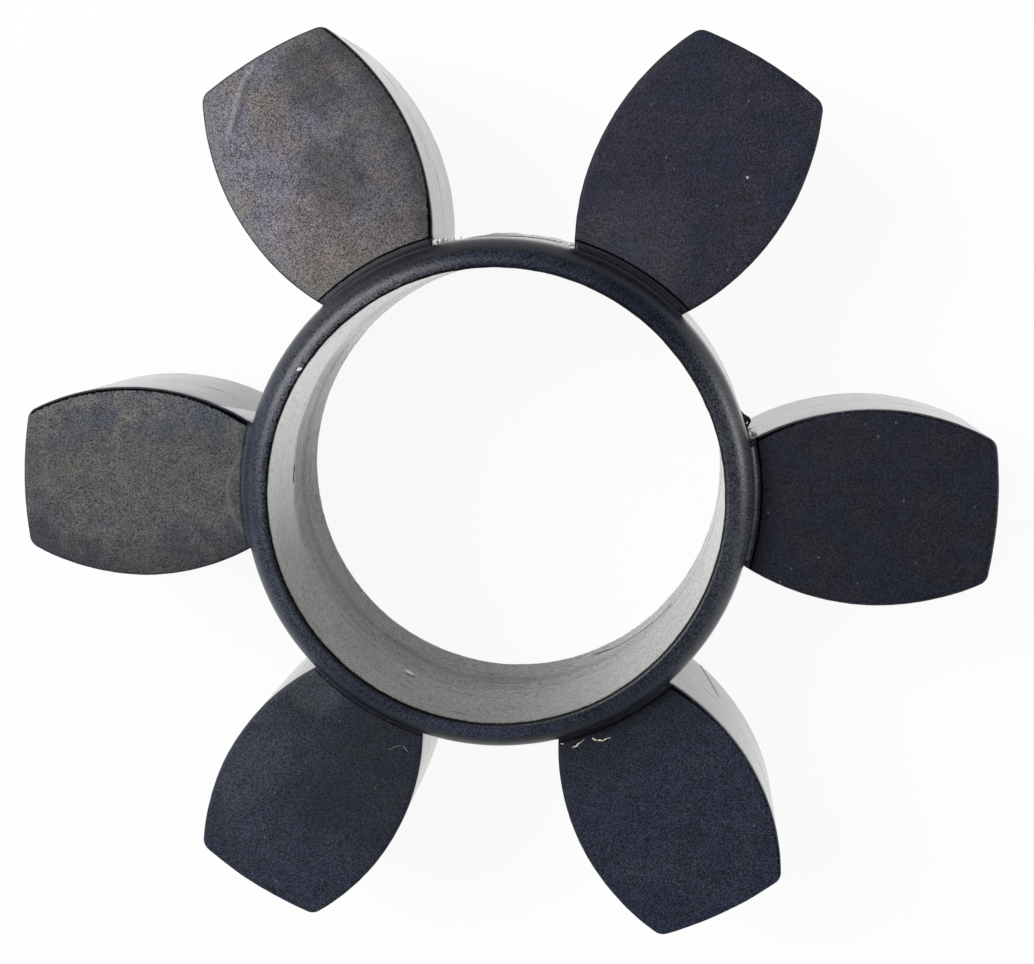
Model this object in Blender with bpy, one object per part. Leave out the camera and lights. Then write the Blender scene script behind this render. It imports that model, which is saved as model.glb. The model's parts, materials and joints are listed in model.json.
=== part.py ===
"""Flexible spider of a six-jaw coupling, moulded in one piece from black rubber.

A thin ring clears the shafts. Crowned legs stand out from it and lie between the jaws of two hubs.
The ring's rim stands proud of the legs on both sides and keeps them off the hubs' flanges.

Frame: origin on the bore's axis at mid-height, +Z along the bore, +X along one leg. Metres.
"""

import math

import bmesh
import bpy
from mathutils import Vector

# Ring
BORE_RADIUS = 0.03435
RING_WALL = 0.0047
RIM_STAND = 0.0066          # crest of the rim above the legs' flat faces
CREST_FROM_BORE = 0.0009    # the crest lies near the bore, so the rim slopes outwards
CREST_TO_BORE_EDGE = 0.0006
CREST_TO_SHOULDER = 0.0046  # the straight outer wall ends this far below the crest

# Legs
LEG_COUNT = 6
LEG_THICKNESS = 0.0304
ROOT_WIDTH = 0.0193         # across the flanks where they meet the ring's outer wall
LEG_WIDTH = 0.0299          # across the flanks' crowns
TIP_WIDTH = 0.0212          # across the flanks where they meet the tip's bow
OVERALL_RADIUS = 0.0750     # to the middle of a tip
TIP_BOW_RADIUS = 0.0621
TIP_CORNER_RADIUS = 0.0022
FACE_EDGE_RADIUS = 0.0004

# Fillet between the ring's outer wall and each leg's flat face
ROOT_FILLET = 0.0011
FILLET_END_SETBACK = 0.0010  # from the flank to the fillet's end
FILLET_SINK = 0.00006        # how deep the fillet's edges run into the wall and the face

# Facets
RING_STEPS = 96
INNER_ROUND_STEPS = 3
OUTER_ROUND_STEPS = 7
FLANK_STEPS = 14
CORNER_STEPS = 4
TIP_STEPS = 8
EDGE_STEPS = 2
FILLET_STEPS = 4
SMOOTH_ANGLE = math.radians(35)

RING_RADIUS = BORE_RADIUS + RING_WALL
MID_WALL = BORE_RADIUS + RING_WALL / 2
LEG_FACE = LEG_THICKNESS / 2
CREST = LEG_FACE + RIM_STAND


def clear_scene():
    for obj in list(bpy.data.objects):
        bpy.data.objects.remove(obj, do_unlink=True)


def arc(centre, start, end, radius_x, radius_y, steps):
    """Points of an elliptical arc from the angle start to the angle end, both included."""
    angles = [start + (end - start) * i / steps for i in range(steps + 1)]
    return [centre + Vector((radius_x * math.cos(a), radius_y * math.sin(a))) for a in angles]


def circles_meet(centre_a, radius_a, centre_b, radius_b):
    """The meeting point of two circles that lies to the left of the way from a to b."""
    way = centre_b - centre_a
    along = (way.length_squared + radius_a ** 2 - radius_b ** 2) / (2 * way.length)
    aside = math.sqrt(radius_a ** 2 - along ** 2)
    forward = way.normalized()
    return centre_a + forward * along + Vector((-forward.y, forward.x)) * aside


def angle_of(vector):
    return math.atan2(vector.y, vector.x)


def flank_circle():
    """Centre and radius of the circle through a flank's root and tip that just reaches LEG_WIDTH."""
    root_x = math.sqrt(RING_RADIUS ** 2 - (ROOT_WIDTH / 2) ** 2)
    tip_x = OVERALL_RADIUS - TIP_BOW_RADIUS + math.sqrt(TIP_BOW_RADIUS ** 2 - (TIP_WIDTH / 2) ** 2)
    length = tip_x - root_x
    root_fall = (LEG_WIDTH - ROOT_WIDTH) / 2
    tip_fall = (LEG_WIDTH - TIP_WIDTH) / 2
    # Both falls fit one radius where square * a ** 2 + linear * a = rest, with a from crown to tip.
    square = root_fall - tip_fall
    linear = 2 * tip_fall * length
    rest = tip_fall * (length ** 2 + root_fall * square)
    crown_to_tip = 2 * rest / (linear + math.sqrt(linear ** 2 + 4 * square * rest))
    radius = (crown_to_tip ** 2 + tip_fall ** 2) / (2 * tip_fall)
    return Vector((tip_x - crown_to_tip, LEG_WIDTH / 2 - radius)), radius


def leg_outline(inset=0.0):
    """Closed outline of the leg along +X, drawn in from its flanks and tip by inset."""
    axis = Vector((0.0, 0.0))
    flank_centre, full_radius = flank_circle()
    flank_radius = full_radius - inset
    tip_centre = Vector((OVERALL_RADIUS - TIP_BOW_RADIUS, 0.0))
    tip_radius = TIP_BOW_RADIUS - inset
    corner_centre = circles_meet(
        tip_centre, tip_radius - TIP_CORNER_RADIUS, flank_centre, flank_radius - TIP_CORNER_RADIUS
    )
    root = circles_meet(axis, MID_WALL, flank_centre, flank_radius)
    corner_from = angle_of(corner_centre - tip_centre)
    corner_to = angle_of(corner_centre - flank_centre)
    tip = arc(tip_centre, -corner_from, corner_from, tip_radius, tip_radius, TIP_STEPS)
    corner = arc(
        corner_centre, corner_from, corner_to, TIP_CORNER_RADIUS, TIP_CORNER_RADIUS, CORNER_STEPS
    )
    flank = arc(
        flank_centre, corner_to, angle_of(root - flank_centre), flank_radius, flank_radius, FLANK_STEPS
    )
    upper = corner[1:] + flank[1:]
    lower = [Vector((p.x, -p.y)) for p in reversed(upper)]
    return lower + tip + upper


def legs_mesh(name, inset, half_height, edge_radius):
    """Upright prisms of the leg's outline, evenly round the bore, with their face edges rounded."""
    bm = bmesh.new()
    floor = bm.faces.new([bm.verts.new((p.x, p.y, -half_height)) for p in leg_outline(inset)])
    floor_edges = list(floor.edges)
    raised = bmesh.ops.extrude_face_region(bm, geom=[floor])["geom"]
    top = next(g for g in raised if isinstance(g, bmesh.types.BMFace))
    bmesh.ops.translate(bm, verts=list(top.verts), vec=(0, 0, 2 * half_height))
    if edge_radius:
        bmesh.ops.bevel(
            bm,
            geom=list(top.edges) + floor_edges,
            offset=edge_radius,
            offset_type="OFFSET",
            affect="EDGES",
            segments=EDGE_STEPS,
            profile=0.5,
            material=-1,
        )
    bmesh.ops.spin(
        bm,
        geom=list(bm.verts) + list(bm.edges) + list(bm.faces),
        cent=(0, 0, 0),
        axis=(0, 0, 1),
        angle=math.tau * (LEG_COUNT - 1) / LEG_COUNT,
        steps=LEG_COUNT - 1,
        use_duplicate=True,
    )
    bmesh.ops.recalc_face_normals(bm, faces=bm.faces)
    mesh = bpy.data.meshes.new(name)
    bm.to_mesh(mesh)
    bm.free()
    return mesh


def turned_mesh(name, sections):
    """Closed sections in the XZ plane, turned about Z."""
    bm = bmesh.new()
    for section in sections:
        verts = [bm.verts.new((p.x, 0.0, p.y)) for p in section]
        edges = [bm.edges.new((a, b)) for a, b in zip(verts, verts[1:] + verts[:1])]
        bmesh.ops.spin(
            bm,
            geom=verts + edges,
            cent=(0, 0, 0),
            axis=(0, 0, 1),
            angle=math.tau,
            steps=RING_STEPS,
            use_merge=True,
        )
    bmesh.ops.recalc_face_normals(bm, faces=bm.faces)
    mesh = bpy.data.meshes.new(name)
    bm.to_mesh(mesh)
    bm.free()
    return mesh


def ring_section():
    """Half the ring's section above mid-height, then its mirror image below."""
    crest_radius = BORE_RADIUS + CREST_FROM_BORE
    outer = arc(
        Vector((crest_radius, CREST - CREST_TO_SHOULDER)),
        0.0,
        math.pi / 2,
        RING_WALL - CREST_FROM_BORE,
        CREST_TO_SHOULDER,
        OUTER_ROUND_STEPS,
    )
    inner = arc(
        Vector((crest_radius, CREST - CREST_TO_BORE_EDGE)),
        math.pi / 2,
        math.pi,
        CREST_FROM_BORE,
        CREST_TO_BORE_EDGE,
        INNER_ROUND_STEPS,
    )
    upper = outer + inner[1:]
    return upper + [Vector((p.x, -p.y)) for p in reversed(upper)]


def fillet_section(side):
    """Section of the root fillet on the legs' upper faces (side 1) or lower faces (side -1)."""
    curve = arc(
        Vector((RING_RADIUS + ROOT_FILLET - FILLET_SINK, LEG_FACE + ROOT_FILLET - FILLET_SINK)),
        math.pi,
        math.pi * 3 / 2,
        ROOT_FILLET,
        ROOT_FILLET,
        FILLET_STEPS,
    )
    back = [
        Vector((curve[-1].x, LEG_FACE - ROOT_FILLET)),
        Vector((MID_WALL, LEG_FACE - ROOT_FILLET)),
        Vector((MID_WALL, curve[0].y)),
    ]
    return [Vector((p.x, side * p.y)) for p in curve + back]


def new_object(name, mesh):
    obj = bpy.data.objects.new(name, mesh)
    bpy.context.scene.collection.objects.link(obj)
    return obj


def boolean(obj, other, operation):
    modifier = obj.modifiers.new(other.name, "BOOLEAN")
    modifier.operation = operation
    modifier.solver = "EXACT"
    modifier.object = other
    other.hide_render = True
    other.display_type = "WIRE"


def rubber():
    material = bpy.data.materials.new("black_rubber")
    material.use_nodes = True
    shader = material.node_tree.nodes["Principled BSDF"]
    shader.inputs["Base Color"].default_value = (0.030, 0.031, 0.036, 1.0)
    shader.inputs["Roughness"].default_value = 0.55
    shader.inputs["Metallic"].default_value = 0.0
    return material


def build_spider():
    spider = new_object("spider", turned_mesh("ring", [ring_section()]))
    legs = new_object("legs", legs_mesh("legs", 0.0, LEG_FACE, FACE_EDGE_RADIUS))
    both_sides = [fillet_section(1), fillet_section(-1)]
    fillets = new_object("root_fillets", turned_mesh("root_fillets", both_sides))
    limits = new_object("fillet_limits", legs_mesh("fillet_limits", FILLET_END_SETBACK, CREST, 0.0))
    boolean(fillets, limits, "INTERSECT")
    boolean(spider, legs, "UNION")
    boolean(spider, fillets, "UNION")
    material = rubber()
    for mesh in (spider.data, legs.data, fillets.data, limits.data):
        mesh.materials.append(material)
        mesh.shade_smooth()
        mesh.set_sharp_from_angle(angle=SMOOTH_ANGLE)


clear_scene()
build_spider()
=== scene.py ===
"""The rubber spider of a jaw coupling, finished as it lies in the photograph.

One moulding replaces the CAD solid and keeps its size. Lengths are metres in the CAD frame, with +Z
along the bore and +X along one leg. Shader patterns count in millimetres.
"""

import json
import math

import bmesh
import bpy
from mathutils import Matrix, Vector, noise


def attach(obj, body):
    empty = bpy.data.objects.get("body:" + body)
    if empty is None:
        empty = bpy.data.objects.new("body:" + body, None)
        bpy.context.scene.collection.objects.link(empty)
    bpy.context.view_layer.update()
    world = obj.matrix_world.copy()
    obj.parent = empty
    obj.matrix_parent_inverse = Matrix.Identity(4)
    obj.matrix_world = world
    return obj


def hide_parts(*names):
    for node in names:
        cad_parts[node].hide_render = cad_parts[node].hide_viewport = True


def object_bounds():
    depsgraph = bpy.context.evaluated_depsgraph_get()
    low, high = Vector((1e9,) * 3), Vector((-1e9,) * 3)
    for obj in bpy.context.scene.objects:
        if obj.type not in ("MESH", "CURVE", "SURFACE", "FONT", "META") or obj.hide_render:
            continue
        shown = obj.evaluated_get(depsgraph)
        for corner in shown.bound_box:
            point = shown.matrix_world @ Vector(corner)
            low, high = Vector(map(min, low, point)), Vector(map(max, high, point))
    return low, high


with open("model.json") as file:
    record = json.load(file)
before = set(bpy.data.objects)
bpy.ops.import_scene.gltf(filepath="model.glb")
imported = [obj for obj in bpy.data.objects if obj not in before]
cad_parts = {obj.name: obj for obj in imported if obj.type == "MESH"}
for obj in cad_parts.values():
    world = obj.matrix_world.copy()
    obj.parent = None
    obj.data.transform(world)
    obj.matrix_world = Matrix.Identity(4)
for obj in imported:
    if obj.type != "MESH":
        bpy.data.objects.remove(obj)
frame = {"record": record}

cad_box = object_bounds()

# The moulding: a thin ring with a proud, rounded rim, and six crowned legs. It comes out of a mould
# that parts at mid-height, so a fine seam runs round the bore, the flanks and the tips. A sharp lip
# stands where the mould's core met the legs, and a fin of flash is left between two of them.
LEG_COUNT = 6
BORE_RADIUS = 0.03435
RING_WALL = 0.0047
CREST_FROM_BORE = 0.0009
CREST_TO_BORE_EDGE = 0.0006
CREST_TO_SHOULDER = 0.0046
ROOT_WIDTH = 0.0193
LEG_WIDTH = 0.0299
TIP_WIDTH = 0.0212
TIP_BOW_RADIUS = 0.0621
TIP_CORNER_RADIUS = 0.0022
FACE_EDGE_RADIUS = 0.0004
ROOT_FILLET = 0.0011
FILLET_END_SETBACK = 0.0010
FILLET_SINK = 0.00006
LIP_HEIGHT = 0.00011
LIP_WIDTH = 0.00024

SKIN = 0.00012          # the surface lies this far inside the solid, as room for seams and flash
SEAM_HEIGHT = 0.00005
SEAM_HALF_WIDTH = 0.00020
FIN_HEIGHT = 0.00056
FIN_AZIMUTH = 88.0      # degrees
WEB_HEIGHT = 0.0012     # of the web in the corner between the ring and the leg along +X
WEB_AZIMUTH = 16.4
ROW = 0.0014            # spacing of the rows of faces
RING_STEPS = 360

RING_RADIUS = BORE_RADIUS + RING_WALL
MID_WALL = BORE_RADIUS + RING_WALL / 2
OVERALL_RADIUS = cad_box[1].x
CREST = cad_box[1].z
LEG_FACE = next(m["pos_m"][2] for m in frame["record"]["mounts"] if m["name"] == "upper_leg_face")


def circles_meet(centre_a, radius_a, centre_b, radius_b):
    """The meeting point of two circles that lies to the left of the way from a to b."""
    way = centre_b - centre_a
    along = (way.length_squared + radius_a ** 2 - radius_b ** 2) / (2 * way.length)
    aside = math.sqrt(radius_a ** 2 - along ** 2)
    forward = way.normalized()
    return centre_a + forward * along + Vector((-forward.y, forward.x)) * aside


def angle_of(vector):
    return math.atan2(vector.y, vector.x)


def flank_circle():
    """Centre and radius of the circle through a flank's root and tip that just reaches LEG_WIDTH."""
    root_x = math.sqrt(RING_RADIUS ** 2 - (ROOT_WIDTH / 2) ** 2)
    tip_x = OVERALL_RADIUS - TIP_BOW_RADIUS + math.sqrt(TIP_BOW_RADIUS ** 2 - (TIP_WIDTH / 2) ** 2)
    length = tip_x - root_x
    root_fall = (LEG_WIDTH - ROOT_WIDTH) / 2
    tip_fall = (LEG_WIDTH - TIP_WIDTH) / 2
    square = root_fall - tip_fall
    linear = 2 * tip_fall * length
    rest = tip_fall * (length ** 2 + root_fall * square)
    crown_to_tip = 2 * rest / (linear + math.sqrt(linear ** 2 + 4 * square * rest))
    radius = (crown_to_tip ** 2 + tip_fall ** 2) / (2 * tip_fall)
    return Vector((tip_x - crown_to_tip, LEG_WIDTH / 2 - radius)), radius


def swept(bm, vert, centre, axis, angle, steps):
    """Sweeps a vertex along an arc and returns the arc's last vertex."""
    made = bmesh.ops.spin(bm, geom=[vert], cent=centre, axis=axis, angle=angle, steps=steps)
    return next(g for g in made["geom_last"] if isinstance(g, bmesh.types.BMVert))


def drawn(bm, vert, *places):
    """Draws straight edges on from a vertex, and returns the last one's end."""
    for place in places:
        end = bm.verts.new(place)
        bm.edges.new((vert, end))
        vert = end
    return vert


def finish_mesh(bm, name):
    bmesh.ops.recalc_face_normals(bm, faces=bm.faces)
    mesh = bpy.data.meshes.new(name)
    bm.to_mesh(mesh)
    bm.free()
    return mesh


def leg_floor(bm, inset, height):
    """One leg's outline, swept along its tip, corner and flank and mirrored, as a face."""
    flank_centre, full_radius = flank_circle()
    flank_radius = full_radius - inset
    tip_centre = Vector((OVERALL_RADIUS - TIP_BOW_RADIUS, 0.0))
    tip_radius = TIP_BOW_RADIUS - inset
    corner_centre = circles_meet(
        tip_centre, tip_radius - TIP_CORNER_RADIUS, flank_centre, flank_radius - TIP_CORNER_RADIUS
    )
    root = circles_meet(Vector((0.0, 0.0)), MID_WALL, flank_centre, flank_radius)
    tip_angle = angle_of(corner_centre - tip_centre)
    corner_angle = angle_of(corner_centre - flank_centre)
    last = bm.verts.new((tip_centre.x + tip_radius, 0.0, height))
    for centre, angle, steps in (
        (tip_centre, tip_angle, 14),
        (corner_centre, corner_angle - tip_angle, 8),
        (flank_centre, angle_of(root - flank_centre) - corner_angle, 56),
    ):
        last = swept(bm, last, (centre.x, centre.y, height), (0, 0, 1), angle, steps)
    bmesh.ops.mirror(bm, geom=list(bm.verts) + list(bm.edges), axis="Y", merge_dist=1e-6)
    ends = [v for v in bm.verts if len(v.link_edges) == 1]
    bm.edges.new(ends)
    return bmesh.ops.contextual_create(bm, geom=list(bm.edges))["faces"][0]


def cut_rows(bm, faces, axis, places):
    """Cuts the faces by planes across an axis, one at each place."""
    normal = Vector((0, 0, 0))
    normal[axis] = 1.0
    for place in places:
        parts = set(faces)
        for face in faces:
            parts.update(face.edges)
            parts.update(face.verts)
        cut = bmesh.ops.bisect_plane(
            bm, geom=list(parts), dist=1e-7, plane_co=normal * place, plane_no=normal
        )
        faces = [g for g in cut["geom"] if isinstance(g, bmesh.types.BMFace)]


def legs_mesh(name, inset, half_height, edge_radius):
    bm = bmesh.new()
    floor_face = leg_floor(bm, inset, -half_height)
    floor_edges = list(floor_face.edges)
    raised = bmesh.ops.extrude_face_region(bm, geom=[floor_face])["geom"]
    top = next(g for g in raised if isinstance(g, bmesh.types.BMFace))
    bmesh.ops.translate(bm, verts=list(top.verts), vec=(0, 0, 2 * half_height))
    bmesh.ops.recalc_face_normals(bm, faces=bm.faces)
    if edge_radius:
        bmesh.ops.bevel(
            bm, geom=list(top.edges) + floor_edges, offset=edge_radius, offset_type="OFFSET",
            affect="EDGES", segments=4, profile=0.5, material=-1,
        )
        bm.normal_update()
        rows = int(half_height / ROW)
        heights = [ROW * i for i in range(1 - rows, rows) if i]
        heights += [-SEAM_HALF_WIDTH, 0.0, SEAM_HALF_WIDTH]
        cut_rows(bm, [f for f in bm.faces if abs(f.normal.z) < 0.1], 2, heights)
        columns = int(OVERALL_RADIUS / ROW)
        for side in (1, -1):
            for axis in (0, 1):
                caps = [f for f in bm.faces if f.normal.z * side > 0.99]
                cut_rows(bm, caps, axis, [ROW * i for i in range(-columns, columns)])
    bmesh.ops.spin(
        bm, geom=list(bm.verts) + list(bm.edges) + list(bm.faces), cent=(0, 0, 0), axis=(0, 0, 1),
        angle=math.tau * (LEG_COUNT - 1) / LEG_COUNT, steps=LEG_COUNT - 1, use_duplicate=True,
    )
    return finish_mesh(bm, name)


def quarter(bm, vert, centre, steps, stretch):
    """A quarter turn in the XZ plane, stretched away from its centre. Returns its last vertex."""
    before = set(bm.verts)
    last = swept(bm, vert, centre, (0, -1, 0), math.pi / 2, steps)
    bmesh.ops.scale(
        bm, verts=[v for v in bm.verts if v not in before], vec=stretch,
        space=Matrix.Translation(-Vector(centre)),
    )
    return last


def turned(bm):
    """Mirrors the half section across mid-height, cuts long edges into rows and turns all about Z."""
    bmesh.ops.mirror(bm, geom=list(bm.verts) + list(bm.edges), axis="Z", merge_dist=1e-6)
    for edge in list(bm.edges):
        cuts = int(edge.calc_length() / ROW)
        if cuts:
            bmesh.ops.subdivide_edges(bm, edges=[edge], cuts=cuts)
    bmesh.ops.spin(
        bm, geom=list(bm.verts) + list(bm.edges), cent=(0, 0, 0), axis=(0, 0, 1),
        angle=math.tau, steps=RING_STEPS, use_merge=True,
    )


def ring_mesh(name):
    bm = bmesh.new()
    wall = RING_RADIUS - SKIN
    bore = BORE_RADIUS + SKIN
    crest_radius = BORE_RADIUS + CREST_FROM_BORE
    crest = CREST - SKIN
    shoulder = crest - CREST_TO_SHOULDER
    last = bm.verts.new((wall, 0, 0))
    last = drawn(bm, last, (wall, 0, SEAM_HALF_WIDTH), (wall, 0, shoulder))
    tall = CREST_TO_SHOULDER / (wall - crest_radius)
    last = quarter(bm, last, (crest_radius, 0, shoulder), 22, (1, 1, tall))
    wide = (crest_radius - bore) / CREST_TO_BORE_EDGE
    last = quarter(bm, last, (crest_radius, 0, crest - CREST_TO_BORE_EDGE), 7, (wide, 1, 1))
    drawn(bm, last, (bore, 0, SEAM_HALF_WIDTH), (bore, 0, 0))
    turned(bm)
    return finish_mesh(bm, name)


def fillets_mesh(name):
    bm = bmesh.new()
    foot = RING_RADIUS - SKIN + ROOT_FILLET - FILLET_SINK
    face = LEG_FACE - SKIN
    top = face + ROOT_FILLET - FILLET_SINK
    start = bm.verts.new((foot - ROOT_FILLET, 0, top))
    last = swept(bm, start, (foot, 0, top), (0, -1, 0), math.pi / 2, 7)
    last = drawn(
        bm, last, (foot + LIP_WIDTH * 0.25, 0, face + LIP_HEIGHT * 0.7),
        (foot + LIP_WIDTH * 0.5, 0, face + LIP_HEIGHT), (foot + LIP_WIDTH * 0.8, 0, face + LIP_HEIGHT * 0.6),
        (foot + LIP_WIDTH, 0, face - FILLET_SINK), (foot + LIP_WIDTH, 0, face - ROOT_FILLET),
        (MID_WALL, 0, face - ROOT_FILLET), (MID_WALL, 0, top),
    )
    bm.edges.new((last, start))
    turned(bm)
    return finish_mesh(bm, name)


def new_object(name, mesh):
    obj = bpy.data.objects.new(name, mesh)
    bpy.context.scene.collection.objects.link(obj)
    return obj


def joined(name, first, *steps):
    """A mesh made from the first object by exact Booleans with the others, which are then removed."""
    for other, operation in steps:
        modifier = first.modifiers.new(other.name, "BOOLEAN")
        modifier.operation = operation
        modifier.solver = "EXACT"
        modifier.object = other
    mesh = bpy.data.meshes.new_from_object(first.evaluated_get(bpy.context.evaluated_depsgraph_get()))
    mesh.name = name
    for obj in [first] + [other for other, _ in steps]:
        bpy.data.objects.remove(obj, do_unlink=True)
    return mesh


def bell(distance, width):
    return math.exp(-(distance / width) ** 2)


def weather(mesh):
    """Gives the clean surface its slow unevenness, ragged edges, seam, fin and uneven lip."""
    bm = bmesh.new()
    bm.from_mesh(mesh)
    bmesh.ops.remove_doubles(bm, verts=bm.verts, dist=1e-6)
    bm.normal_update()
    face = LEG_FACE - SKIN
    lip_radius = RING_RADIUS - SKIN + ROOT_FILLET - FILLET_SINK + LIP_WIDTH / 2
    moves = []
    for vert in bm.verts:
        place, normal = vert.co, vert.normal
        radius = math.hypot(place.x, place.y)
        azimuth = math.degrees(math.atan2(place.y, place.x))
        steep = 1.0 - abs(normal.z)
        slow = 0.00006 * noise.noise(place * 110)
        rag = 0.00007 * noise.noise(place * 700) + 0.00004 * noise.noise(place * 1900)
        leg_edge = bell(abs(place.z) - LEG_FACE, 0.0006) if radius > RING_RADIUS else 0.0
        bore_edge = bell(abs(place.z) - CREST + CREST_TO_BORE_EDGE, 0.0005) * bell(radius - BORE_RADIUS, 0.0004)
        seam = max(0.0, 1.0 - abs(place.z) / SEAM_HALF_WIDTH) if steep > 0.8 else 0.0
        height = SEAM_HEIGHT * max(0.0, min(1.0, 0.35 + 1.3 * noise.noise(place * 200)))
        if radius < MID_WALL:
            height *= 0.4
        if abs(radius - RING_RADIUS) < 0.0006:
            height += FIN_HEIGHT * bell(azimuth - FIN_AZIMUTH, 26) * (0.75 + 0.5 * noise.noise(place * 450))
            height += WEB_HEIGHT * bell(azimuth - WEB_AZIMUTH, 1.5)
        move = normal * (slow + rag * max(leg_edge, bore_edge) * steep + height * seam)
        over = abs(place.z) - face - 0.00003
        if over > 0 and abs(radius - lip_radius) < LIP_WIDTH * 0.45:
            left = 0.25 + 0.75 * bell(azimuth, 20) + 0.8 * noise.noise(place * 220)
            move.z -= math.copysign(over * (1 - max(0.0, min(1.0, left))), place.z)
        moves.append(move)
    for vert, move in zip(bm.verts, moves):
        vert.co += move
    bm.to_mesh(mesh)
    bm.free()


ring = new_object("ring", ring_mesh("ring"))
legs = new_object("legs", legs_mesh("legs", SKIN, LEG_FACE - SKIN, FACE_EDGE_RADIUS))
fillets = new_object("fillets", fillets_mesh("fillets"))
limits = new_object("limits", legs_mesh("limits", SKIN + FILLET_END_SETBACK, CREST, 0.0))
fillets = new_object("root_fillets", joined("root_fillets", fillets, (limits, "INTERSECT")))
body_mesh = joined("moulding", ring, (legs, "UNION"), (fillets, "UNION"))
weather(body_mesh)
body_mesh.shade_smooth()
body_mesh.set_sharp_from_angle(angle=math.radians(38))
moulding = new_object("moulding", body_mesh)
print("moulding", sum(len(p.vertices) - 2 for p in body_mesh.polygons), "triangles")


class Wire:
    """One socket of a material's nodes. Arithmetic on wires adds the Math nodes for it."""

    def __init__(self, tree, socket=None):
        self.tree = tree
        self.socket = socket

    def node(self, kind, settings, inputs, output=0):
        """A new node: first its settings, then the values or wires of its sockets."""
        made = self.tree.nodes.new(kind)
        for name, value in settings.items():
            if name == "stops":
                elements = made.color_ramp.elements
                elements.remove(elements[1])
                elements[0].position, elements[0].color = value[0][0], (*value[0][1], 1.0)
                for place, colour in value[1:]:
                    elements.new(place).color = (*colour, 1.0)
            elif name == "spread":
                made.color_ramp.interpolation = value
            else:
                setattr(made, name, value)
        for key, value in inputs.items():
            if isinstance(value, Wire):
                self.tree.links.new(value.socket, made.inputs[key])
            elif isinstance(value, tuple) and made.inputs[key].type == "RGBA":
                made.inputs[key].default_value = (*value, 1.0)
            else:
                made.inputs[key].default_value = value
        return Wire(self.tree, made.outputs[output])

    def maths(self, operation, first, second=0.0):
        return self.node("ShaderNodeMath", {"operation": operation}, {0: first, 1: second})

    def __add__(self, other):
        return self.maths("ADD", self, other)

    def __sub__(self, other):
        return self.maths("SUBTRACT", self, other)

    def __rsub__(self, other):
        return self.maths("SUBTRACT", other, self)

    def __mul__(self, other):
        return self.maths("MULTIPLY", self, other)

    def __truediv__(self, other):
        return self.maths("DIVIDE", self, other)

    __radd__ = __add__
    __rmul__ = __mul__

    def size(self):
        return self.maths("ABSOLUTE", self)

    def larger(self, other):
        return self.maths("MAXIMUM", self, other)

    def rise(self, low, high):
        """0 at low and 1 at high, with a smooth step between; it falls where low is above high."""
        return self.node(
            "ShaderNodeMapRange", {"interpolation_type": "SMOOTHSTEP"},
            {"Value": self, "From Min": low, "From Max": high},
        )

    def blend(self, first, second):
        """The first colour where this wire is 0, the second where it is 1."""
        return self.node("ShaderNodeMix", {"data_type": "RGBA"}, {0: self, 6: first, 7: second}, 2)

    def ramp(self, stops, spread):
        return self.node("ShaderNodeValToRGB", {"stops": stops, "spread": spread}, {0: self})

    def times(self, scales):
        return self.node("ShaderNodeVectorMath", {"operation": "MULTIPLY"}, {0: self, 1: scales})

    def dimmed(self, factor):
        return self.node("ShaderNodeVectorMath", {"operation": "SCALE"}, {0: self, "Scale": factor})

    def part(self, name):
        return self.node("ShaderNodeSeparateXYZ", {}, {0: self}, name)

    def beside(self, name):
        """Another output of the node that this wire comes from."""
        return Wire(self.tree, self.socket.node.outputs[name])

    def grain(self, per_mm, detail=2.0, roughness=0.5):
        """Noise around 0, mostly within 1 either way."""
        made = self.node(
            "ShaderNodeTexNoise", {},
            {"Vector": self, "Scale": per_mm, "Detail": detail, "Roughness": roughness},
        )
        return (made - 0.5) * 4.0


# Face colours of the legs from 180 degrees on, anticlockwise: plain rubber, then its patches.
# The legs differ partly by wear and partly by painted sheen, most of all the pale ones at 180 and 120 degrees.
LEG_COLOURS = (
    ((0.0520, 0.0555, 0.0715), (0.0840, 0.0800, 0.0740)),
    ((0.0105, 0.0150, 0.0310), (0.0150, 0.0190, 0.0330)),
    ((0.0085, 0.0125, 0.0280), (0.0125, 0.0155, 0.0295)),
    ((0.0035, 0.0048, 0.0145), (0.0060, 0.0065, 0.0105)),
    ((0.0070, 0.0085, 0.0230), (0.0125, 0.0115, 0.0220)),
    ((0.1100, 0.1055, 0.1320), (0.1270, 0.1130, 0.1100)),
)


# Colours of the rim by azimuth in degrees; it is darkest at the upper right.
RIM_COLOURS = (
    (-180, (0.024, 0.029, 0.048)), (-148, (0.029, 0.037, 0.052)), (-120, (0.017, 0.020, 0.037)),
    (-95, (0.026, 0.034, 0.056)), (-60, (0.016, 0.020, 0.034)), (-18, (0.030, 0.034, 0.045)),
    (15, (0.030, 0.033, 0.042)), (54, (0.004, 0.006, 0.016)), (85, (0.013, 0.016, 0.032)),
    (130, (0.024, 0.026, 0.040)), (160, (0.028, 0.032, 0.050)), (180, (0.024, 0.029, 0.048)),
)


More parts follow.
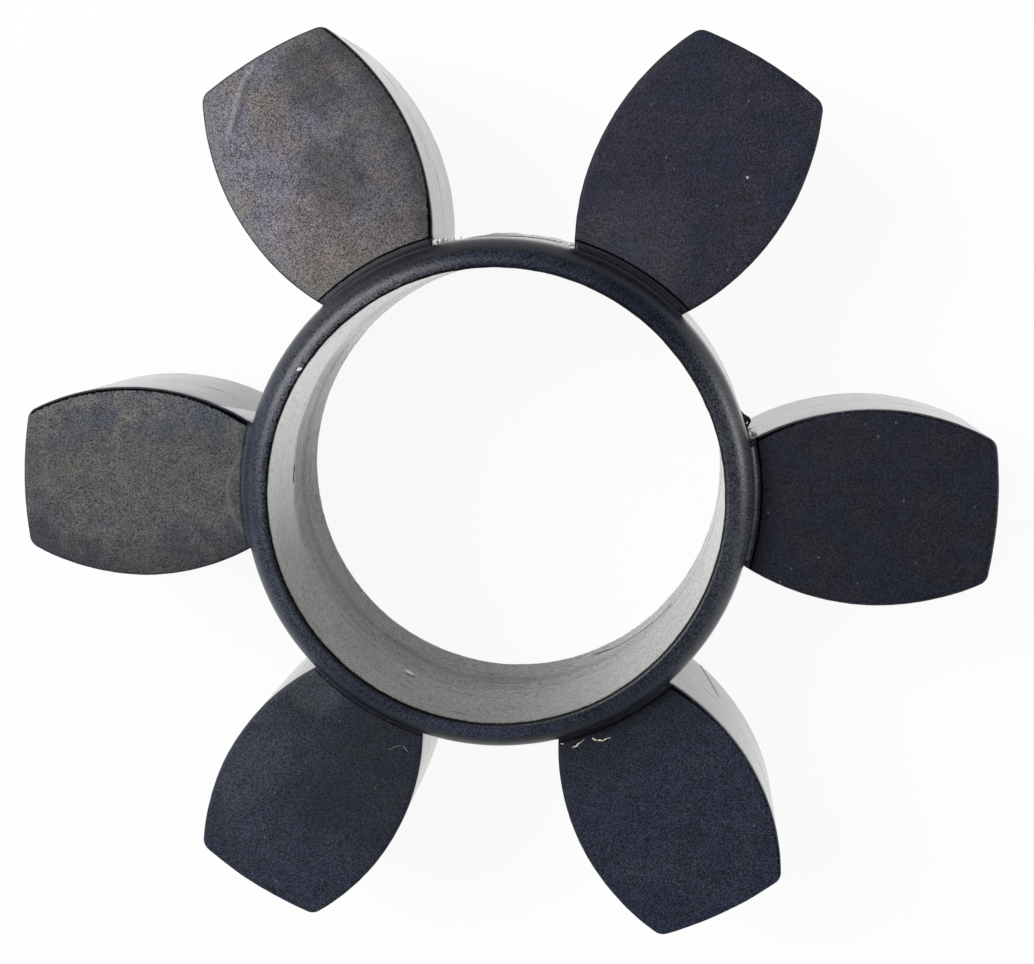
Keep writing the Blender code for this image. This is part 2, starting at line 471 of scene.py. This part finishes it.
def rubber():
    """Black moulded rubber: grained faces, a smoother skin on rim and walls, two worn legs with painted sheen, and
    painted shade along edges and corners.
    """
    material = bpy.data.materials.new("moulded_rubber")
    material.use_nodes = True
    tree = material.node_tree
    shader = tree.nodes["Principled BSDF"]
    start = Wire(tree)
    place = start.node("ShaderNodeTexCoord", {}, {}, "Object").times((1000.0, 1000.0, 1000.0))
    up = start.node("ShaderNodeTexCoord", {}, {}, "Normal").part("Z").size()
    x, y, z = place.part("X"), place.part("Y"), place.part("Z")
    radius = (x * x + y * y).maths("SQRT", x * x + y * y)
    sixths = place.maths("ARCTAN2", y, x) / (math.tau / LEG_COUNT)
    sector = place.maths("ROUND", sixths)
    within = (sixths - sector) * (math.tau / LEG_COUNT)
    out = radius * place.maths("COSINE", within)
    aside = radius * place.maths("SINE", within)
    flank_centre, flank_radius = flank_circle()
    across = aside.size() - flank_centre.y * 1000
    along = out - flank_centre.x * 1000
    from_flank = flank_radius * 1000 - place.maths("SQRT", along * along + across * across)

    wall = up.rise(0.45, 0.15)
    legs_only = radius.rise(39.6, 40.4)
    face = up.rise(0.85, 0.98) * legs_only
    rim = radius.rise(39.8, 39.2) * up.rise(0.05, 0.3)
    bore = radius.rise(35.2, 34.8) * wall

    speckle = place.node("ShaderNodeTexVoronoi", {}, {"Vector": place, "Scale": 7.6}, "Color")
    fine = (place.node("ShaderNodeSeparateColor", {}, {0: speckle}, "Red") - 0.5) * 2.0
    grain = place.grain(2.8, 2.0, 0.6)
    cloud = place.grain(0.33, 3.0, 0.55)
    broad = place.grain(0.13, 1.0, 0.55)

    def leg(number):
        """Mask of one leg, counted anticlockwise from the one along +X, the upper ones 1 and 2."""
        return (sector - number).size().rise(0.6, 0.4) * z.rise(14.0, 14.6)

    upper_left = leg(2)
    left = leg(3).larger(leg(-3))

    turn = sixths / LEG_COUNT + 0.5
    starts = [max(0.0, (2 * i - 1) / (2 * LEG_COUNT)) for i in range(LEG_COUNT + 1)]
    plain = turn.ramp([(s, LEG_COLOURS[i % LEG_COUNT][0]) for i, s in enumerate(starts)], "CONSTANT")
    patchy = turn.ramp([(s, LEG_COLOURS[i % LEG_COUNT][1]) for i, s in enumerate(starts)], "CONSTANT")
    rubbed = ((out - 57.0) / 17.0 * ((out - 57.0) / 17.0) + aside / 6.5 * (aside / 6.5)).rise(1.6, 0.5)
    patches = (broad + cloud * 0.4).rise(-0.5, 0.8)
    patches = patches.larger(rubbed * left * 0.9).larger(out.rise(49.0, 42.0) * upper_left)
    top = patches.blend(plain, patchy)

    def spot(leg_mask, centre_out, centre_aside, half_length, half_width):
        """A soft patch on one leg, ragged by the clouds."""
        o, a = (out - centre_out) / half_length, (aside - centre_aside) / half_width
        return (o * o + a * a + cloud * 0.35).rise(1.3, 0.2) * leg_mask

    rust = spot(upper_left, 46.5, 5.5, 7.5, 6.5).larger(spot(upper_left, 66.0, 3.0, 4.0, 3.0) * 0.8)
    top = (rust * 0.55).blend(top, (0.125, 0.100, 0.088))
    violet = spot(upper_left, 58.0, 7.0, 5.0, 4.0).larger(spot(upper_left, 52.0, 11.0, 4.0, 3.0))
    top = (violet * 0.4).blend(top, (0.120, 0.112, 0.150))
    # Darker patches on the upper left and lower left legs, and the lower right leg darker towards the ring.
    darker_patches = spot(upper_left, 53.5, -1.0, 7.0, 5.5).larger(spot(upper_left, 68.0, -5.0, 6.0, 5.0))
    darker_patches = darker_patches * 0.36 + spot(leg(-2), 46.5, -9.0, 4.4, 3.6) * 0.30
    darker_patches = darker_patches + aside.rise(-6.0, 2.0) * out.rise(66.0, 57.0) * leg(-2) * 0.45
    darker_patches = darker_patches + out.rise(52.0, 42.0) * leg(-1) * 0.35
    dull = spot(leg(-2), 41.5, -8.5, 4.2, 5.6) * 0.12 + spot(leg(-2), 57.0, -10.5, 12.0, 5.0) * 0.07
    dull = dull + spot(leg(2), 40.3, 2.0, 1.3, 7.5) * 0.35 + spot(leg(1), 43.0, 2.0, 9.0, 9.0) * 0.06
    side_light = 1.0 + aside / 15.0 * 0.46 * upper_left + aside.rise(-6.0, -13.0) * left * 0.35
    inward = (from_flank + cloud * 0.6).rise(4.2, 0.3)
    margin = 1.0 - inward * upper_left * aside.rise(2.0, -2.0) * 0.45
    margin = margin * (1.0 - (from_flank + cloud).rise(8.0, 0.3) * aside.rise(-4.0, 4.0) * left * 0.42)
    bloom = inward * aside.rise(2.0, 7.0) * upper_left
    worn_and_sheen = upper_left.larger(left)
    tone = (1.0 + fine * (2.4 - worn_and_sheen * 1.35) + grain * 0.12 + cloud * 0.30) * side_light * margin * (1.0 - darker_patches)
    top = top.dimmed(tone.larger(0.10))
    pale = bloom * 0.35 + dull
    top = (pale * (1.0 + fine * 0.7 + cloud * 0.3)).blend(top, (0.210, 0.215, 0.200))

    # Painted shade: a black line along the faces' edges where they roll over to the flanks, wider along the flanks
    # that face the camera and near the ring.
    seen_flank = aside.rise(-1.0, 1.0) * sector.size().rise(1.6, 1.4) * (1.0 - leg(1))
    seen_flank = seen_flank.larger(aside.rise(1.0, -1.0) * upper_left.larger(left))
    reach = 0.12 + seen_flank * (0.40 + left * 0.2) + out.rise(50.0, 39.0) * (0.1 + seen_flank * 0.22)
    painted_edge_shade = (from_flank + grain * 0.15 + fine * 0.08 - reach).rise(0.08, -0.08)
    top = painted_edge_shade.blend(top, (0.004, 0.004, 0.005))

    def stroke(width, *corners):
        """A thin mark on straight lines from corner to corner, in mm, ragged and tapered to its ends."""
        mark = 0.0
        for a, b in zip(corners, corners[1:]):
            first, last = Vector(a), Vector(b)
            from_middle = place.node(
                "ShaderNodeVectorMath", {"operation": "SUBTRACT"}, {0: place, 1: (first + last) / 2}
            )
            way = (last - first).normalized()
            forth = place.node("ShaderNodeVectorMath", {"operation": "DOT_PRODUCT"}, {0: from_middle, 1: way}, "Value")
            far = place.node("ShaderNodeVectorMath", {"operation": "LENGTH"}, {0: from_middle}, "Value")
            apart = place.maths("SQRT", (far * far - forth * forth).larger(0.0)) + grain * (width * 0.25)
            half = (last - first).length / 2
            line = apart.rise(width, width * 0.3) * forth.size().rise(half + width, half)
            mark = line.larger(mark)
        return mark

    scar = stroke(
        0.55, (-38.4, 63.3, 15.1), (-39.9, 61.0, 15.1), (-40.9, 57.6, 15.1), (-42.0, 53.6, 15.1),
    )
    scar = scar.larger(stroke(0.4, (-41.8, 59.0, 15.1), (-42.5, 55.5, 15.1)) * 0.5)
    groove = stroke(0.8, (-39.2, 60.9, 15.1), (-40.2, 57.3, 15.1), (-41.1, 53.8, 15.1))
    top = (groove * cloud.rise(-1.2, 0.6) * 0.6).blend(top, (0.045, 0.046, 0.055))
    flecked = (0.70 + fine * 0.50) * grain.rise(-1.6, 0.4)
    top = (scar * flecked).blend(top, (0.290, 0.302, 0.310))
    o, a = out - 33.5, aside - 1.0
    crescent = (place.maths("SQRT", o * o + a * a) - 8.6 + grain * 0.12).size().rise(0.5, 0.15)
    crescent = crescent * aside.rise(-8.5, -6.5) * aside.rise(10.5, 8.5) * left
    top = (crescent * 0.5).blend(top, (0.140, 0.140, 0.135))

    skin = turn.ramp([(azimuth / 360 + 0.5, tone) for azimuth, tone in RIM_COLOURS], "EASE")
    # Painted shade: the rim's outer slopes at the top and bottom are darkened.
    steep_side = radius.rise(36.4, 37.4) * (y / radius).size().rise(0.70, 0.95)
    skin = skin.dimmed(1.0 - steep_side * 0.6)
    # Painted highlight: a paler band along the rim's crest at the upper left.
    painted_crest_highlight = (radius + cloud * 0.3).rise(37.0, 35.5) * turn.rise(0.76, 0.84) * turn.rise(0.98, 0.92)
    skin = (painted_crest_highlight * (0.6 + cloud * 0.2)).blend(skin, (0.105, 0.107, 0.118))
    skin = skin.dimmed((1.0 + fine * 1.15 + grain * 0.12 + cloud * 0.25).larger(0.10))
    # Painted shade on the rim's inner rounding along the lower half of the bore.
    skin = (radius.rise(35.7, 34.9) * (y / radius).rise(0.0, -0.4) * 0.8).blend(skin, (0.003, 0.004, 0.008))
    # Painted shade: a thin black line along the bore's top edge, fainter towards +X.
    bore_edge = (radius + grain * 0.12 + fine * 0.06).rise(34.94, 34.74) * z.size().rise(20.85, 21.05)
    bore_edge = bore_edge * (0.85 - (x / radius).rise(-0.30, 0.15) * 0.40)
    # Painted shade: a thin dark line round the rim's foot where it meets the legs, fainter on the left and lower legs.
    foot = (radius + grain * 0.05 - 40.12).size().rise(0.26, 0.06) * z.size().rise(14.4, 14.8)
    foot = foot * (1.0 - left * 0.65 - leg(-1).larger(leg(-2)) * 0.35)
    colour = face.blend(skin, top)
    colour = foot.larger(bore_edge).blend(colour, (0.004, 0.004, 0.005))

    def specks(shape, share, colours, amount):
        """Stray pale specks, stretched by the shape, on a share of the cells."""
        inputs = {"Vector": place.times(shape), "Scale": 0.42}
        near = place.node("ShaderNodeTexVoronoi", {}, inputs, "Distance")
        pick = place.node("ShaderNodeSeparateColor", {}, {0: near.beside("Color")}, "Red")
        chosen = pick.rise(1.0 - share, 1.01 - share)
        return (near.rise(0.09, 0.045) * chosen * up.rise(0.5, 0.8) * amount).blend(*colours)

    colour = specks((1.2, 0.8, 1.0), 0.45, (colour, (0.12, 0.12, 0.125)), 0.7)
    colour = specks((0.8, 0.7, 1.0), 0.04, (colour, (0.40, 0.39, 0.37)), 1.0)

    streak = place.times((0.07, 0.07, 0.9)).grain(1.0, 3.0, 0.6)
    waver = place.times((0.045, 0.045, 0.0)).grain(1.0, 2.0, 0.5)
    east = (x / radius).rise(0.25, 0.80)
    west = (x / radius).rise(-0.55, -0.85) * (y / radius).rise(-0.5, 0.1)
    north_west = (y / radius).rise(0.50, 0.75) * west
    lower = (z + 0.4 + waver * 1.2 + cloud * 1.1).rise(1.7, -1.7) * (1.0 - east * 0.8) * (1.0 - north_west)
    band = ((z + 9.5 + waver * 2.6) / 3.4).size().rise(1.0, 0.1) * (0.75 + waver * 0.4)
    pits = (place.times((0.32, 0.32, 1.7)).grain(1.1, 2.0, 0.6) + cloud * 0.4 + lower * 0.25).rise(0.9, 1.5)
    scuff = (streak + cloud * 0.4).rise(0.2, 1.2).larger(band * (0.8 + cloud * 0.4))
    dusty = scuff.blend((0.104, 0.102, 0.092), (0.042, 0.042, 0.040))
    dusty = (east * 0.8).blend(dusty, (0.084, 0.082, 0.067))
    dusty = pits.blend(dusty, (0.006, 0.006, 0.007))
    outer_dusty = cloud.rise(-1.0, 1.4).blend((0.028, 0.028, 0.029), (0.048, 0.047, 0.045))
    wall_colour = bore.blend(outer_dusty, dusty).dimmed((1.0 + fine * (0.4 + bore * 1.1) + grain * (0.2 + bore * 0.15)).larger(0.10))
    seam_line = (z + grain * 0.05).size().rise(0.30, 0.10) * (1.0 - bore * 0.7)
    wall_colour = wall_colour.dimmed(1.0 - seam_line * 0.5)
    # Painted reflection: a pale wedge high on one flank of the leg at 180 degrees, next to the ring, with a full coat.
    painted_wedge_reflection = (z - 3.0 - (out - 39.0) * 2.6 + cloud * 0.8).rise(-0.3, 0.7) * aside.rise(-6.0, -8.0)
    painted_wedge_reflection = painted_wedge_reflection * (sector - 3.0).size().rise(0.6, 0.4) * legs_only
    wall_colour = painted_wedge_reflection.blend(wall_colour, (0.66, 0.65, 0.68))
    # Painted shade: a thinner coat on the same flank near the ring, around the wedge.
    painted_root_shade = out.rise(52.0, 43.0) * aside.rise(-6.0, -8.0) * (sector - 3.0).size().rise(0.6, 0.4) * legs_only
    dots = place.node(
        "ShaderNodeTexVoronoi", {}, {"Vector": place.times((0.75, 0.75, 1.3)), "Scale": 1.1}, "Distance"
    )
    dots = (dots + grain * 0.06).rise(0.34, 0.16) * (0.45 + lower * 0.25 + cloud * 0.6).larger(0.0)
    torn = (place.times((0.2, 0.2, 1.6)).grain(1.0, 2.0, 0.5) + z.rise(13.0, 20.5) * 0.35).rise(1.15, 1.35)
    torn = torn * (x / radius).rise(-0.15, -0.6) * z.rise(13.0, 18.0)
    dashes = stroke(0.8, (-34.32, 1.4, -0.2), (-34.32, -0.8, 0.6)).larger(
        stroke(0.55, (-14.6, -31.0, 4.7), (-13.6, -31.5, 4.5)))
    thread = stroke(
        0.8, (14.5, -31.1, -17.0), (18.6, -28.8, -14.2), (22.9, -25.6, -13.2), (27.0, -21.2, -12.4),
    )
    dashes = dashes.larger(torn).larger(thread * (0.85 + cloud * 0.3))
    dashes = dashes.larger(stroke(1.2, (-4.4, -34.15, -6.2), (4.4, -34.15, -6.4)) * 0.3)
    dots = dots.larger(dashes) * bore
    colour = wall.blend(colour, dots.blend(wall_colour, (0.010, 0.010, 0.011)))
    nick = stroke(0.85, (-14.75, -31.0, 2.9), (-14.25, -31.3, 3.1)) * bore
    colour = nick.blend(colour, (0.95, 0.95, 0.93))
    cut = stroke(0.40, (32.7, -31.55, -14.3), (35.75, -34.35, -3.6))
    cut = cut.larger(stroke(0.9, (-16.3, 58.1, 4.8), (-12.7, 50.7, 4.4)) * 0.45)
    colour = cut.blend(colour, (0.008, 0.008, 0.009))
    # Painted highlight: the fin of flash between the upper legs is painted pale.
    flash = radius.rise(38.90, 39.10) * radius.rise(40.6, 40.2) * z.size().rise(1.2, 0.7) * y.rise(33.0, 36.0)
    colour = flash.blend(colour, (0.80, 0.80, 0.78))

    shader.inputs["IOR"].default_value = 1.42
    shader.inputs["Coat Roughness"].default_value = 0.12
    shader.inputs["Coat IOR"].default_value = 1.4
    # Metallic takes the gloss off where black is painted: the painted shade lines, the rim's lower outer slope, and
    # the dark dots and cuts.
    black = (painted_edge_shade * face).larger(foot).larger(bore_edge)
    black = black.larger(radius.rise(36.2, 37.2) * (y / radius).rise(-0.40, -0.75) * rim * 0.35)
    black = black.larger(dots * 0.85).larger(cut * 0.7)
    glossy = bore * west * (1.0 - lower)
    roughness = 0.60 - rim * 0.24 - glossy * 0.36 - (wall - bore) * 0.18 + grain * 0.05 + fine * 0.10 + cloud * 0.04
    roughness = roughness.larger(black * 0.9)
    height = grain * 0.012
    bumped = place.node("ShaderNodeBump", {}, {"Strength": 1.0, "Distance": 0.001, "Height": height})
    facing = (x * math.cos(math.radians(235)) + y * math.sin(math.radians(235))) / radius
    shine = 0.47 + facing.rise(0.88, 0.15) * 0.48 - lower * (0.12 + west * 0.14) - scuff * 0.28
    shine = (shine + cloud * 0.12 + fine * 0.32).larger(nick)
    painted_root_shade = painted_root_shade * (1.0 - painted_wedge_reflection) * (0.16 + cloud * 0.05)
    coat = (wall - bore) * (0.88 + fine * 0.16 - painted_root_shade).larger(painted_wedge_reflection) * (1.0 - cut) + bore * shine * (1.0 - pits) * (1.0 - dots)
    for name, value in (
        ("Base Color", colour), ("Roughness", roughness), ("Metallic", black), ("Coat Weight", coat),
        ("Normal", bumped),
    ):
        tree.links.new(value.socket, shader.inputs[name])
    return material


moulding.data.materials.clear()
moulding.data.materials.append(rubber())
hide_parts("spider")
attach(moulding, "root")

# Bits left from moulding and handling: strips of torn flash at one leg's root, a wisp of lint on the
# next leg, a chip on the rim, and crumbs in the corners where the flanks meet the ring. Each is a
# fraction of a millimetre thick and lies on the surface that carries it.
STRIP_HALF_WIDTH = 0.13      # millimetres
LINT_HALF_WIDTH = 0.07
FACE_LEVEL = 15.13
STRIPS = (
    ((11.0, -38.7), (11.3, -38.8), (11.6, -38.8)),
    ((12.9, -39.3), (13.2, -39.15), (13.6, -39.0), (13.8, -38.6), (14.3, -38.35), (14.7, -37.85)),
    ((15.9, -37.55), (16.2, -37.8), (16.7, -37.95), (17.1, -37.9), (17.6, -37.95), (18.0, -37.7), (18.3, -37.5), (18.8, -37.4)),
)
LINT = (
    ((-16.2, -41.1), (-15.8, -41.1), (-15.1, -40.7), (-14.3, -40.4), (-13.6, -40.4)),
    ((-13.7, -40.4), (-13.5, -40.7), (-13.2, -41.1), (-12.8, -41.5)),
)
CRUMBS = (
    (-10.2, 37.95, 15.0, 0.42), (-9.5, 38.1, 15.2, 0.34), (-8.6, 38.3, 15.1, 0.30), (-7.5, 38.5, 15.3, 0.24),
    (-6.4, 38.7, 15.4, 0.18), (8.3, 38.3, 15.2, 0.26), (9.1, 38.2, 15.3, 0.34), (9.8, 38.0, 15.0, 0.40),
    (37.3, 12.2, 15.0, 0.28), (37.8, 10.6, 14.8, 0.30), (38.0, 9.9, 14.0, 0.36), (38.0, 9.9, 11.8, 0.24),
    (38.0, 10.0, 9.2, 0.34), (38.0, 10.0, 6.0, 0.26), (38.0, 10.0, 3.0, 0.30),
)


def strand(bm, points, half_width, thickness):
    """A ragged ribbon through the points, narrow at both ends, as a closed tube of six sides."""
    made = bmesh.ops.create_circle(bm, radius=half_width, segments=6)["verts"]
    ring_verts = list(made)
    middles = [Vector(p) for p in points]
    for i, middle in enumerate(middles):
        if i:
            edges = list({e for v in ring_verts for e in v.link_edges if all(w in ring_verts for w in e.verts)})
            raised = bmesh.ops.extrude_edge_only(bm, edges=edges)["geom"]
            ring_verts = [g for g in raised if isinstance(g, bmesh.types.BMVert)]
        before, after = middles[max(0, i - 1)], middles[min(len(middles) - 1, i + 1)]
        way = (after - before).normalized()
        side = way.cross(Vector((0, 0, 1))).normalized()
        width = half_width * (0.35 if i in (0, len(middles) - 1) else 0.95 + 1.3 * noise.noise(middle * 3.1))
        for n, vert in enumerate(ring_verts):
            angle = math.tau * n / 6
            vert.co = middle + side * width * math.cos(angle) + Vector((0, 0, thickness * math.sin(angle)))
        if i in (0, len(middles) - 1):
            bmesh.ops.contextual_create(bm, geom=ring_verts)


def crumb(bm, x, y, z, size):
    made = bmesh.ops.create_icosphere(bm, subdivisions=2, radius=size)["verts"]
    for vert in made:
        vert.co *= 0.8 + 0.9 * noise.noise(vert.co * (1.3 / size) + Vector((x, y, z)))
        vert.co += Vector((x, y, z))


def bits_object(name, bm, base, deeper, per_mm):
    """The finished bits as a piece of pale, slightly uneven rubber dust on the root body."""
    bmesh.ops.scale(bm, verts=bm.verts, vec=(0.001, 0.001, 0.001))
    piece = new_object(name, finish_mesh(bm, name))
    piece.data.shade_smooth()
    material = bpy.data.materials.new(name)
    material.use_nodes = True
    start = Wire(material.node_tree)
    place = start.node("ShaderNodeTexCoord", {}, {}, "Object").times((1000.0, 1000.0, 1000.0))
    uneven = place.grain(per_mm, 2.0, 0.6)
    shader = material.node_tree.nodes["Principled BSDF"]
    bumped = place.node("ShaderNodeBump", {}, {"Strength": 1.0, "Distance": 0.001, "Height": uneven * 0.02})
    for socket, value in (
        ("Base Color", uneven.rise(-0.8, 0.8).blend(deeper, base)), ("Roughness", 0.6 + uneven * 0.08),
        ("Normal", bumped),
    ):
        material.node_tree.links.new(value.socket, shader.inputs[socket])
    piece.data.materials.append(material)
    return piece


bm = bmesh.new()
for line in STRIPS:
    strand(bm, [(x, y, FACE_LEVEL) for x, y in line], STRIP_HALF_WIDTH, 0.10)
# The strips are pale, and their colour is raised further as painted light against the rim's shadow on them.
torn_strips = bits_object("torn_strips", bm, (0.95, 0.93, 0.70), (0.78, 0.72, 0.45), 3.0)
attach(torn_strips, "root")

bm = bmesh.new()
for line in LINT:
    strand(bm, [(x, y, FACE_LEVEL) for x, y in line], LINT_HALF_WIDTH, 0.07)
lint = bits_object("lint", bm, (0.26, 0.31, 0.29), (0.12, 0.15, 0.15), 4.0)
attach(lint, "root")

bm = bmesh.new()
for x, y, z, size in CRUMBS:
    crumb(bm, x, y, z, size)
strand(bm, [(-30.0, 18.6, 21.66), (-29.6, 18.8, 21.68), (-29.2, 18.95, 21.60)], 0.20, 0.10)
# The crumbs are pale, and their colours are raised further as painted light against the shade they lie in.
crumbs = bits_object("crumbs", bm, (0.90, 0.90, 0.89), (0.58, 0.58, 0.59), 3.0)
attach(crumbs, "root")

# The table: a pale sheet that runs out of sight. The camera sees it nearly white and it keeps a
# trace of the spider's shadow.
TABLE_SPAN = 6.0
TABLE_WHITE = 0.93      # share of the seen colour that light and shadow don't change


def seen_directly(start):
    """1 for rays from the camera, from gloss and through glass, which see the plain white."""
    rays = [start.node("ShaderNodeLightPath", {}, {}, name)
            for name in ("Is Camera Ray", "Is Glossy Ray", "Is Transmission Ray")]
    return rays[0].larger(rays[1]).larger(rays[2])


def table():
    material = bpy.data.materials.new("white_table")
    material.use_nodes = True
    tree = material.node_tree
    tree.nodes.clear()
    start = Wire(tree)
    sheet = start.node("ShaderNodeBsdfDiffuse", {}, {"Color": (0.90, 0.90, 0.90)})
    white = start.node("ShaderNodeEmission", {}, {"Color": (1.0, 1.0, 1.0), "Strength": 1.0})
    mixed = start.node("ShaderNodeMixShader", {}, {0: seen_directly(start) * TABLE_WHITE, 1: sheet, 2: white})
    output = tree.nodes.new("ShaderNodeOutputMaterial")
    tree.links.new(mixed.socket, output.inputs["Surface"])
    bm = bmesh.new()
    bmesh.ops.create_circle(bm, cap_ends=True, radius=TABLE_SPAN / 2, segments=64)
    bmesh.ops.translate(bm, verts=bm.verts, vec=(0, 0, cad_box[0].z))
    mesh = finish_mesh(bm, "table")
    mesh.materials.append(material)
    return new_object("table", mesh)


table()

# The light: a soft box high at the upper left, a low one at the right that draws the line along
# the rim, and a white surround near the horizon under a darker ceiling.


def lamp(name, azimuth, elevation, distance, size, radiance):
    """A square soft box that faces the spider, as bright as the given radiance."""
    light = bpy.data.lights.new(name, "AREA")
    light.shape = "SQUARE"
    light.size = size
    light.energy = radiance * math.pi * size ** 2
    obj = bpy.data.objects.new(name, light)
    a, e = math.radians(azimuth), math.radians(elevation)
    way = Vector((math.cos(a) * math.cos(e), math.sin(a) * math.cos(e), math.sin(e)))
    obj.location = way * distance
    obj.rotation_euler = way.to_track_quat("Z", "Y").to_euler()
    obj.visible_camera = False
    bpy.context.scene.collection.objects.link(obj)


lamp("high_soft_box", azimuth=155, elevation=52, distance=1.3, size=0.70, radiance=9.0)
lamp("low_soft_box", azimuth=10, elevation=14, distance=1.0, size=0.34, radiance=11.0)

world = bpy.data.worlds.new("surround")
world.use_nodes = True
bpy.context.scene.world = world
sky = world.node_tree
sky.nodes.clear()
start = Wire(sky)
height = start.node("ShaderNodeTexCoord", {}, {}, "Generated").part("Z")
tone = height.rise(0.08, 0.42).blend((1.0, 1.0, 1.0), (0.10, 0.10, 0.11))
shade = seen_directly(start).blend((0.34, 0.34, 0.35), tone)
backdrop = start.node("ShaderNodeBackground", {}, {"Color": shade, "Strength": 1.0})
output = sky.nodes.new("ShaderNodeOutputWorld")
sky.links.new(backdrop.socket, output.inputs["Surface"])

# The camera: it stands over the spider, to the upper right of the bore's axis, so that it looks
# onto the bore's lower left wall and the flanks that face it.
CAMERA_EYE = Vector((0.02657, 0.04081, 0.31776))
CAMERA_AIM = Vector((-0.01340, -0.01979, 0.0))
CAMERA_TURN = math.radians(1.1)
CAMERA_LENS = 69.49
CAMERA_SHIFT = (0.0938, 0.1141)

camera = bpy.data.cameras.new("camera")
camera.sensor_fit = "HORIZONTAL"
camera.sensor_width = 36.0
camera.lens = CAMERA_LENS
camera.shift_x, camera.shift_y = CAMERA_SHIFT
camera.clip_start = 0.01
forward = (CAMERA_AIM - CAMERA_EYE).normalized()
right = forward.cross(Vector((-math.sin(CAMERA_TURN), math.cos(CAMERA_TURN), 0.0))).normalized()
upward = right.cross(forward)
turn = Matrix((right, upward, -forward)).transposed()
camera_object = bpy.data.objects.new("camera", camera)
camera_object.matrix_world = Matrix.Translation(CAMERA_EYE) @ turn.to_4x4()
bpy.context.scene.collection.objects.link(camera_object)
bpy.context.scene.camera = camera_object
bpy.context.scene.view_settings.view_transform = "Standard"
